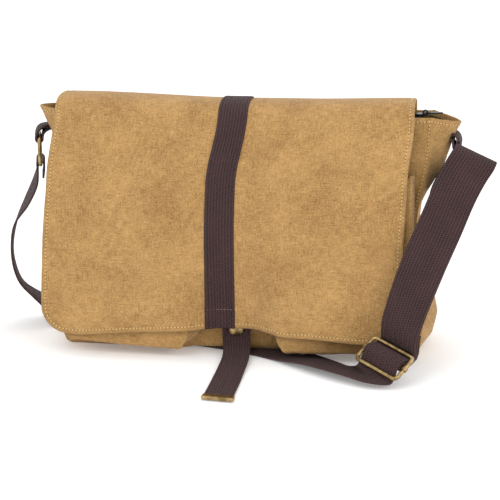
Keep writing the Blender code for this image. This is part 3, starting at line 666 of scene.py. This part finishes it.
def rim_height(side, share):
    """The mouth's rim: a little higher at the back and at the left, and low at the right-hand tip."""
    t = share * 2 - 1
    if side == 0:
        return 208.0 + 3.5 * smooth_step(-t)
    if side == 2:
        return 210.0 + 3.0 * smooth_step(t)
    drop = 1 - abs(t) ** 1.6
    if side == 1:
        return 208.0 + (t + 1) - 6.5 * drop
    return 211.5 + (1 - t) * 0.75 + 0.5 * drop


def body_grid(inset, top_drop, floor):
    """The body's skin as a grid: BASE_RINGS rows across the bottom, then rows up the walls."""
    shares = ring_shares()
    levels = np.concatenate([np.linspace(0.012, 0.95, 46), (0.965, 0.975, 0.983, 0.991, 0.997, 1.0)])
    columns = []
    for side, share in shares:
        top = rim_height(side, share) - top_drop
        columns.append(body_point(side, share, floor + levels * (top - floor), inset))
    wall = np.stack(columns, axis=1)
    rings = []
    for scale in BASE_SCALES:
        ring = wall[0] * (scale, scale, 1.0)
        ring[:, 2] = floor + STRAP_LIFT * under_strap(ring[:, 0], ring[:, 1])
        rings.append(ring)
    lift = STRAP_LIFT * under_strap(wall[..., 0], wall[..., 1]) * (wall[..., 2] < 6)
    wall[..., 2] = np.maximum(wall[..., 2], floor + lift)
    return np.concatenate([np.stack(rings), wall]), shares


def body_relief(grid, shares):
    """Soft folds in the body's cloth, as a height outward in mm."""
    z = grid[..., 2]
    run = np.broadcast_to(lengths_along(grid[20])[None, :], z.shape)
    relief = 0.9 * layered(run, z, 70.0, 3) + 0.35 * layered(run, z, 18.0, 9)
    relief += 0.8 * creases(run, z * 0.45, 46.0, 21) - 0.5 * creases(run * 0.6, z, 30.0, 27)
    relief *= smooth_step((z - 2.0) / 12.0)
    side = np.array([s for s, _ in shares])[None, :]
    share = np.array([t for _, t in shares])[None, :]
    gusset = (side % 2 == 1) * np.sin(np.pi * share)
    relief = relief + gusset * smooth_step((z - 120) / 60) * 1.6 * np.sin(z / 9.0 + share * 5)
    seam = np.minimum(share, 1 - share) * np.where(side % 2 == 1, 60.0, 326.0)
    relief = relief + 0.9 * np.exp(-(seam / 1.6) ** 2) - 0.5 * np.exp(-((seam - 4.0) / 1.6) ** 2)
    return np.clip(relief, -1.6, 2.0)


def make_body():
    grid, shares = body_grid(0.0, 0.0, 0.15)
    relief = body_relief(grid, shares)
    above_foot = (np.arange(len(grid)) > BASE_RINGS + 1)[:, None, None]
    grid = grid + grid_normals(grid, loop=True) * relief[..., None] * above_foot
    body = cloth("body_canvas", grid, grid_uv(grid), 1.5, CANVAS, "root", offset=-1.0, loop=True,
                 cap_first=True)
    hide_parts("front_panel", "back_panel", "gusset_left", "gusset_right", "bottom_panel")

    over_board = 7.6
    inner, shares = body_grid(3.4, 3.0, over_board)
    inner[:BASE_RINGS, :, 2] = over_board
    pushed = grid_normals(inner, loop=True) * (relief * 0.7 - 0.6)[..., None]
    inner = inner + pushed * above_foot
    lining = cloth("lining_cloth", inner, grid_uv(inner), 0.6, LINING, "root", loop=True, cap_first=True)
    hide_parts("lining")

    normal = grid_normals(grid, loop=True)
    hem, around = len(grid) - 4, list(range(len(shares))) + [0]
    lines = [(grid[hem][around], normal[hem][around])]
    for side, shift in ((1, -1), (3, -1), (2, 1), (0, 1)):
        seam = (shares.index((side, 0.0)) + shift) % len(shares)
        lines.append((grid[9:-2, seam], normal[9:-2, seam]))
    thread_line = stitches("body_stitching", lines, THREAD, "root")


make_body()


# ------------------------------------------------------------------ pockets
POCKET_BASE, POCKET_ROUND, POCKET_TUCK = 6.5, 17.0, 1.6
POCKET_UNDER = (0.0, 0.35, 0.7, 0.92)


def pocket_front(z):
    return -(np.interp(z, POCKET_FACE[:, 0], POCKET_FACE[:, 1]) - 0.8)


def panel_front(x, z):
    wide, _, deep, bulge = body_at(z)
    return -(deep + bulge * (1 - (x / wide) ** 2))


def pocket_rows(side):
    """The pocket's cloth, round its inner side, face and outer side, and the heights of its rows."""
    heights = np.concatenate([(8.0, 8.3, 8.8, 9.5, 10.5, 11.8, 13.4, 15.3, 17.5, 20.0, 23.0),
                              np.linspace(26.5, 150, 38), (153, 155, 157, 158.5, 159.5, 160)])
    inner_side = np.linspace(0, 1, 9)[:-1]
    face = np.concatenate([(0, 0.006, 0.013, 0.025), np.linspace(0.045, 0.955, 34),
                           (0.975, 0.987, 0.994, 1)])
    rows = []
    for z in heights:
        above = z - POCKET_BASE
        inset = POCKET_ROUND - math.sqrt(max(POCKET_ROUND ** 2 - max(POCKET_ROUND - above, 0.0) ** 2, 0.0))
        inner, outer = POCKET_INNER + inset, POCKET_OUTER - inset
        front = pocket_front(z) + max(7 - above, 0.0) ** 2 * 0.12
        row = []
        for s in inner_side:
            flare = (1 - s) ** 1.3 * 10.0 * (1 - inset / POCKET_ROUND)
            x = inner + 1 - flare + 2.6 * math.sin(math.pi * s)
            back = panel_front(x, z) - POCKET_TUCK
            row.append((x, back + (front - back) * s ** 0.9, z))
        for t in face:
            crown = 2.2 * min(above / 30, 1.0) * (POCKET_TOP - z + 30) / 180 * (1 - (2 * t - 1) ** 2)
            row.append((inner + (outer - inner) * t, front - crown, z))
        for s in inner_side[::-1]:
            x = outer - 1 + (1 - s) ** 1.3 * 2.2 - 3.0 * math.sin(math.pi * s)
            back = panel_front(x, z) - POCKET_TUCK
            row.append((x, back + (front - back) * s ** 0.9, z))
        rows.append(row)
    wall = np.array(rows)
    under = []
    for share in POCKET_UNDER:
        ring = wall[0].copy()
        back = panel_front(ring[:, 0], 7.0) - POCKET_TUCK
        ring[:, 1] = back + (ring[:, 1] - back) * share
        ring[:, 2] = POCKET_BASE + 0.8 + 0.6 * share ** 4
        under.append(ring)
    grid = np.concatenate([np.stack(under), wall])
    lift = 6.0 * np.clip((np.abs(grid[..., 0]) - 45) / 105, 0, 1) ** 1.5
    grid[..., 2] += lift * np.clip(1 - (grid[..., 2] - POCKET_BASE) / 60, 0, 1)
    grid[..., 0] *= side
    return grid, np.concatenate([np.full(len(under), heights[0]), heights])


def make_pockets():
    for name, side in (("left", -1), ("right", 1)):
        grid, heights = pocket_rows(side)
        normal = grid_normals(grid) * side
        x, z = grid[..., 0], grid[..., 2]
        relief = 0.7 * layered(x, z, 45.0, 40 + side) + 0.3 * layered(x, z, 14.0, 50 + side)
        relief += 0.8 * creases(x, z * 0.5, 34.0, 61 + side)
        across = np.minimum(np.arange(grid.shape[1]), np.arange(grid.shape[1])[::-1])
        edge = np.clip(across / 4.0, 0, 1)
        relief = np.clip(relief, -1.0, 1.2) * edge[None, :]
        relief += 0.8 * np.exp(-((across - 8.6) / 0.8) ** 2) - 0.5 * np.exp(-((across - 11.6) / 0.8) ** 2)
        piped = 0.9 * np.exp(-((heights - 10.2) / 1.3) ** 2) - 0.7 * np.exp(-((heights - 14.2) / 1.5) ** 2)
        relief += piped[:, None] * edge[None, :]
        relief[:len(POCKET_UNDER)] = 0
        grid = grid + normal * relief[..., None]
        # The right pocket's canvas has the flap's shadow painted into its colour, low on its right.
        look = CANVAS if side < 0 else POCKET_SHADOW_CANVAS
        piece = cloth(f"pocket_{name}_cloth", grid, grid_uv(grid), 1.4, look, "root", flip=side < 0)
        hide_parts(f"pocket_{name}_face", f"pocket_{name}_gusset")
        normal = grid_normals(grid) * side
        lines = [(grid[row, 2:-2] + normal[row, 2:-2] * 0.7, normal[row, 2:-2]) for row in (-4, -7)]
        stitches(f"pocket_{name}_stitching", lines, THREAD, "root")


make_pockets()


# ------------------------------------------------------------------ the flap
SECTION = curve([(y, z, 0.0) for y, z in FLAP_PATH], 1.0)[:, :2]
SECTION_RUN = lengths_along(SECTION)
FLAP_LENGTH = SECTION_RUN[-1]
# The section goes on a little past the flap's end, so that slopes can be read there.
SECTION = np.vstack([SECTION, SECTION[-1] + (SECTION[-1] - SECTION[-2]) * 5])
SECTION_RUN = np.append(SECTION_RUN, SECTION_RUN[-1] + 5 * (SECTION_RUN[-1] - SECTION_RUN[-2]))
FLAP_SEAM = 12.0
# How far the lower edge rises and falls in waves, from its left end to its right end.
EDGE_X = (-170, -135, -90, -45, -12, 8, 35, 70, 108, 150)
EDGE_RISE = (-1.0, -3.5, 0.5, 3.2, 0.0, -0.5, 1.5, 0.5, -2.0, -1.5)


def section_at(s):
    return np.interp(s, SECTION_RUN, SECTION[:, 0]), np.interp(s, SECTION_RUN, SECTION[:, 1])


def flap_shift(s):
    """How far the flap's middle lies to the side, which changes down the front."""
    y, z = section_at(s)
    return -4.0 - 8.0 * np.where(y < -15, smooth_step((215.0 - z) / 65.0), 0.0)


def flap_surface(x, s, offset):
    """A point offset from the flap's cloth: x across, s down its section from the back seam, in mm."""
    x, s = np.broadcast_arrays(np.asarray(x, float), np.asarray(s, float))
    y, z = section_at(s)
    y_before, z_before = section_at(s - 1.5)
    y_after, z_after = section_at(s + 1.5)
    size = np.hypot(y_after - y_before, z_after - z_before)
    out_y, out_z = (z_after - z_before) / size, (y_before - y_after) / size
    across = x - flap_shift(s)
    front = smooth_step((s - 45.0) / 30.0)
    reach = np.clip((np.abs(x - SNAP_X) - 8.0) / 42.0, 0, 1)
    lower = smooth_step((130.0 - z) / 106.0) * (y < 0)
    dip = 0.5 * (1 + np.cos(np.pi * reach)) * lower
    relief = 0.9 * layered(x, s, 95.0, 101) + 0.35 * layered(x, s, 30.0, 111)
    relief += 0.12 * layered(x, s, 9.0, 121)
    relief += 0.45 * creases(x, s, 70.0, 131) - 0.4 * creases(x * 1.3, s * 0.8, 55.0, 141)
    pull = np.exp(-((x - SNAP_X) / 30.0) ** 2) * smooth_step((110.0 - z) / 80.0) * (y < 0)
    relief += 0.5 * pull * np.sin((x - SNAP_X) * 0.55 + (s - 200) * 0.02)
    relief *= front * 0.8 + 0.2
    below = FLAP_LENGTH - s
    edge = np.minimum(below, FLAP_HALF - np.abs(across))
    relief += -0.35 * np.exp(-((edge - 3.4) / 1.2) ** 2) + 0.15 * np.exp(-((edge - 1.5) / 1.0) ** 2)
    relief -= 1.1 * np.clip(1 - edge / 1.8, 0, 1) ** 2
    relief = relief + offset
    rise = np.interp(x, EDGE_X, EDGE_RISE) * lower
    sag = 4.6 * smooth_step((x + 150) / 150) - 1.5 * smooth_step((x - 70) / 80)
    sag = sag * smooth_step((z - 150) / 60)
    lean = np.where(y < -15, np.interp(z, (103, 150, 195, 215), (0.0, 2.0, -0.6, -2.0)), -2.0)
    x = x + lean * smooth_step((np.abs(across) - 40.0) / 110.0)
    y = y + dip * 17.5 + out_y * relief
    z = z + dip * 3.0 + rise - sag + out_z * relief
    return np.stack([x, y, z], axis=-1)


def flap_row_reach(s):
    """Half the flap's width at s, less at its round lower corners."""
    rise = np.clip(FLAP_CORNER - (FLAP_LENGTH - s), 0.0, None)
    return FLAP_HALF - (FLAP_CORNER - np.sqrt(np.maximum(FLAP_CORNER ** 2 - rise ** 2, 0.0)))


def flap_grid(offset, shrink, start):
    """The flap's cloth, moved out by offset, cut back by shrink and starting at start down its section."""
    near = np.array((0.0, 0.7, 1.5, 2.4, 3.4, 4.6, 5.8, 7.4, 9.5, 12.0))
    middle = np.linspace(15.0, 2 * FLAP_HALF - 15.0, 96)
    along = np.concatenate([np.linspace(start, FLAP_LENGTH - 15.0 - shrink, 96),
                            FLAP_LENGTH - shrink - near[::-1]])
    rows = []
    for s in along:
        reach = float(flap_row_reach(s)) - shrink
        share = np.concatenate([near, middle, 2 * FLAP_HALF - near[::-1]]) / FLAP_HALF - 1
        rows.append(flap_surface(flap_shift(s) + share * reach, np.full(share.shape, s), offset))
    return np.array(rows)


def flap_line(points, offset=0.8):
    """Points and normals on the flap, from (x from the flap's middle, s) places."""
    points = np.asarray(points, float)
    shift = flap_shift(points[:, 1])
    place = flap_surface(points[:, 0] + shift, points[:, 1], offset)
    beside = flap_surface(points[:, 0] + shift + 1.0, points[:, 1], offset)
    below = flap_surface(points[:, 0] + shift, points[:, 1] + 1.0, offset)
    normal = np.cross(below - place, beside - place)
    return place, normal / np.linalg.norm(normal, axis=1, keepdims=True)


def flap_outline(inside, start):
    """A line at a distance inside the flap's edge, down one side, along the bottom and up."""
    half, low, corner = FLAP_HALF - inside, FLAP_LENGTH - inside, FLAP_CORNER - inside
    points = [(-half, s) for s in np.linspace(start, low - corner, 90)]
    for angle in np.linspace(0, math.pi / 2, 12)[1:]:
        points.append((-half + corner * (1 - math.cos(angle)), low - corner + corner * math.sin(angle)))
    points += [(x, low) for x in np.linspace(-half + corner, half - corner, 120)[1:]]
    for angle in np.linspace(math.pi / 2, 0, 12)[1:]:
        points.append((half - corner * (1 - math.cos(angle)), low - corner + corner * math.sin(angle)))
    points += [(half, s) for s in np.linspace(low - corner, start, 90)[1:]]
    return points


def make_flap():
    grid = flap_grid(0.0, 0.0, 0.0)
    flap = cloth("flap_cloth", grid, grid_uv(grid), 1.5, CANVAS, None, flip=True)
    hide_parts("flap_canvas", "flap_anchor")
    inner = flap_grid(-1.5, 2.2, 40.0)
    lining = cloth("flap_lining_cloth", inner, grid_uv(inner), 0.7, LINING, "flap", flip=True)
    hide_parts("flap_lining")

    edge = stitches("flap_stitching", [flap_line(flap_outline(3.4, 46.0))], THREAD, "flap")
    seam = [(x, FLAP_SEAM) for x in np.linspace(-FLAP_HALF + 5, FLAP_HALF - 5, 120)]
    stitches("flap_seam_stitching", [flap_line(seam)], THREAD, "root")
    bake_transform(flap)


def make_closure():
    half = CLOSURE_WIDTH / 2
    run = np.linspace(42.0, FLAP_LENGTH + 0.6, 110)
    columns = [(-half, 0.75), (-half + 0.25, 1.5), (-half + 1.0, 1.75)]
    columns += [(x, 1.75) for x in np.linspace(-half + 2.6, half - 2.6, 9)]
    columns += [(-x, h) for x, h in columns[2::-1]]
    places, heights = np.array([x for x, _ in columns]), np.array([h for _, h in columns])
    rows = []
    for s in run:
        place, normal = flap_line([(x, s) for x in places], 0.0)
        rows.append(place + normal * heights[:, None])
    uv = np.stack(np.broadcast_arrays((places + half)[None, :], (run - run[0])[:, None]), axis=-1) * MM
    strap = cloth("closure_webbing", np.array(rows), uv, 0.9, WEBBING, "flap", flip=True)
    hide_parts("closure_strap")
    lines = []
    for x in (-half + 2.0, half - 2.0):
        lines.append(flap_line([(x, s) for s in np.linspace(46, FLAP_LENGTH - 4, 120)], 2.2))
    end = [flap_line([(x, FLAP_LENGTH - 16.5) for x in np.linspace(-half + 1.5, half - 1.5, 14)], 2.2)]
    for name, rows, look in (("closure_stitching", lines, DARK_THREAD),
                             ("closure_end_stitching", end, BROWN_THREAD)):
        stitches(name, rows, look, "flap", pitch=2.8, length=2.0, radius=0.28, lift=0.15,
                         holes=False)


make_flap()
make_closure()


# ------------------------------------------------------------------ pull tab
def make_pull_tab():
    free = ((SNAP_X, TAB_Y - 0.4, 44.0, 1, 0, 0), (SNAP_X, TAB_Y, 34.0, 1, 0, 0),
            (SNAP_X, TAB_Y, 22.0, 1, 0, 0), (SNAP_X, TAB_Y, 13.4, 1, -0.02, 0),
            (1.3, TAB_Y - 1.8, 9.8, 1, -0.12, 0),
            (2.6, -61.5, 6.6, 0.98, -0.18, 0), (4.0, -76.0, 4.2, 0.98, -0.21, 0.02),
            (4.5, -98.0, 2.4, 0.98, -0.19, 0.02), (5.0, -122.0, 1.7, 0.99, -0.15, 0),
            (5.5, -146.0, 1.8, 0.99, -0.12, 0), (6.1, -166.0, 2.5, 0.99, -0.1, 0))
    tab = ribbon("pull_tab_webbing", curve(free, 3.0), CLOSURE_WIDTH, None)
    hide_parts("pull_tab", "pull_tab_top")
    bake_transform(tab)


make_pull_tab()


# ------------------------------------------------------------------ tabs, rings and slider
def rounded_outline(across, along, corner):
    """A rectangle with round corners, about its middle, from its half sizes."""
    points = []
    for turn, (right, up) in enumerate(((1, 1), (-1, 1), (-1, -1), (1, -1))):
        for k in range(7):
            angle = math.pi / 2 * (turn + k / 6)
            points.append((right * (across - corner) + corner * math.cos(angle),
                           up * (along - corner) + corner * math.sin(angle)))
    return points


def make_hardware():
    for name, side in (("left", -1), ("right", 1)):
        outline = [(y, RING_Z - RING_DROP / 2 + z)
                   for y, z in rounded_outline(RING_HALF, RING_DROP / 2, 4.0)]
        points = [(RING_X, y, z) if side > 0 else left_turned(-RING_X, y, z) for y, z in outline]
        ring = wire_loop(f"ring_{name}_wire", points, f"ring_{name}")
        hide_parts(f"ring_{name}")

        path = [(173.5, 7.5, 190.5, 0.30), (178.0, 7.0, 190.0, 0.38), (182.3, 5.0, 189.2, 0.6),
                (185.2, 2.0, 187.2, 0.85)]
        path += [(x, y, z, 1.0) for x, y, z, *_ in ring_loop(RING_X, RING_Z, 180, 360, 11)]
        path += [(191.4, 0.5, 186.8, 0.98), (190.0, 2.0, 189.6, 0.9), (187.0, 4.0, 191.8, 0.75),
                 (182.0, 6.0, 193.2, 0.5), (173.5, 7.5, 194.4, 0.30)]
        route = [(side * x, y, z, 0.0, -1.0, 0.0, wide) for x, y, z, wide in path]
        if side < 0:
            route = [left_turned(*row) for row in route]
        tab = ribbon(f"tab_{name}_webbing", curve(route, 1.5), STRAP_WIDTH, "root")
        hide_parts(f"tab_{name}")

    points = [SLIDER + SLIDER_U * u + SLIDER_V * v for u, v in rounded_outline(21.9, 12.4, 3.6)]
    frame_wire = wire_loop("slider_frame_wire", points, "root")
    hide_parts("slider_frame")


make_hardware()


# ------------------------------------------------------------------ zip
def tape_edge(x):
    """How far a tape's toothed edge is from the middle; the tapes meet at the slider."""
    return float(np.interp(x, (118, 128, 146, 150), (8.0, 7.0, 2.2, 1.9)))


def make_zip():
    level = 206.8
    teeth = []
    for name, side in (("front", -1), ("back", 1)):
        rows = []
        for x in np.linspace(-150, 158.5, 90):
            wide, _, deep, bulge = body_at(level)
            reach = deep + (bulge if side < 0 else 1.0) * (1 - (x / wide) ** 2) - 1.4
            rows.append([(x, side * (reach + (tape_edge(x) - reach) * share),
                          level - 0.8 * math.sin(math.pi * share)) for share in np.linspace(0, 1, 7)])
        grid = np.array(rows)
        tape = cloth(f"zip_tape_{name}_cloth", grid, grid_uv(grid), 0.9, TAPE, "root", flip=side > 0)
        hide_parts(f"zip_tape_{name}")
        for x in np.arange(-148.5 + (side > 0) * 1.25, 157.0, 2.5):
            teeth.append((x, side * (tape_edge(x) - 0.5), level))
    box = np.array([(i, j, k) for i in (-0.5, 0.5) for j in (-0.5, 0.5) for k in (-0.5, 0.5)])
    quads = ((0, 1, 3, 2), (4, 6, 7, 5), (0, 4, 5, 1), (2, 3, 7, 6), (0, 2, 6, 4), (1, 5, 7, 3))
    verts, faces = [], []
    for x, y, z in teeth:
        base = len(verts)
        verts += [tuple((np.array((x, y, z)) + corner * (1.2, 1.9, 1.7)) * MM) for corner in box]
        faces += [tuple(base + i for i in quad) for quad in quads]
    mesh = bpy.data.meshes.new("zip_teeth")
    mesh.from_pydata(verts, [], faces)
    made = new_object("zip_teeth", mesh, BLACK, "root", smooth=False)


make_zip()

LOOKS = {"snap_cap": BRASS, "snap_stud": BRASS, "snap_socket": BRASS, "pull_tab_tip": BRASS,
         "slider_bar": BRASS, "zip_slider": BLACK, "zip_pull": BLACK, "base_board": BOARD}
for node, material in LOOKS.items():
    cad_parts[node].data.materials.clear()
    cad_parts[node].data.materials.append(material)

# ------------------------------------------------------------------ stage
floor_mesh = bpy.data.meshes.new("floor")
floor_mesh.from_pydata([(-8, -8, 0), (8, -8, 0), (8, 8, 0), (-8, 8, 0)], [], [(0, 1, 2, 3)])
floor_look = Nodes("floor_white", (0.93, 0.93, 0.93), 0.9)
floor_look.shader.inputs["Emission Color"].default_value = (1.0, 1.0, 1.0, 1.0)
floor_look.shader.inputs["Emission Strength"].default_value = 0.16
floor = new_object("floor", floor_mesh, floor_look.material, None)

world = bpy.data.worlds.new("studio")
world.use_nodes = True
world.node_tree.nodes["Background"].inputs[0].default_value = (1, 1, 1, 1)
world.node_tree.nodes["Background"].inputs[1].default_value = 1.0
SCENE.world = world
area_light("key", (-0.7, -1.7, 1.9), 1.4, 10.5)
area_light("fill", (1.7, -1.3, 1.2), 1.4, 12.0)
area_light("top", (0.1, 0.6, 2.2), 2.0, 7.0)
SCENE.view_settings.view_transform = "Standard"
SCENE.view_settings.look = "None"
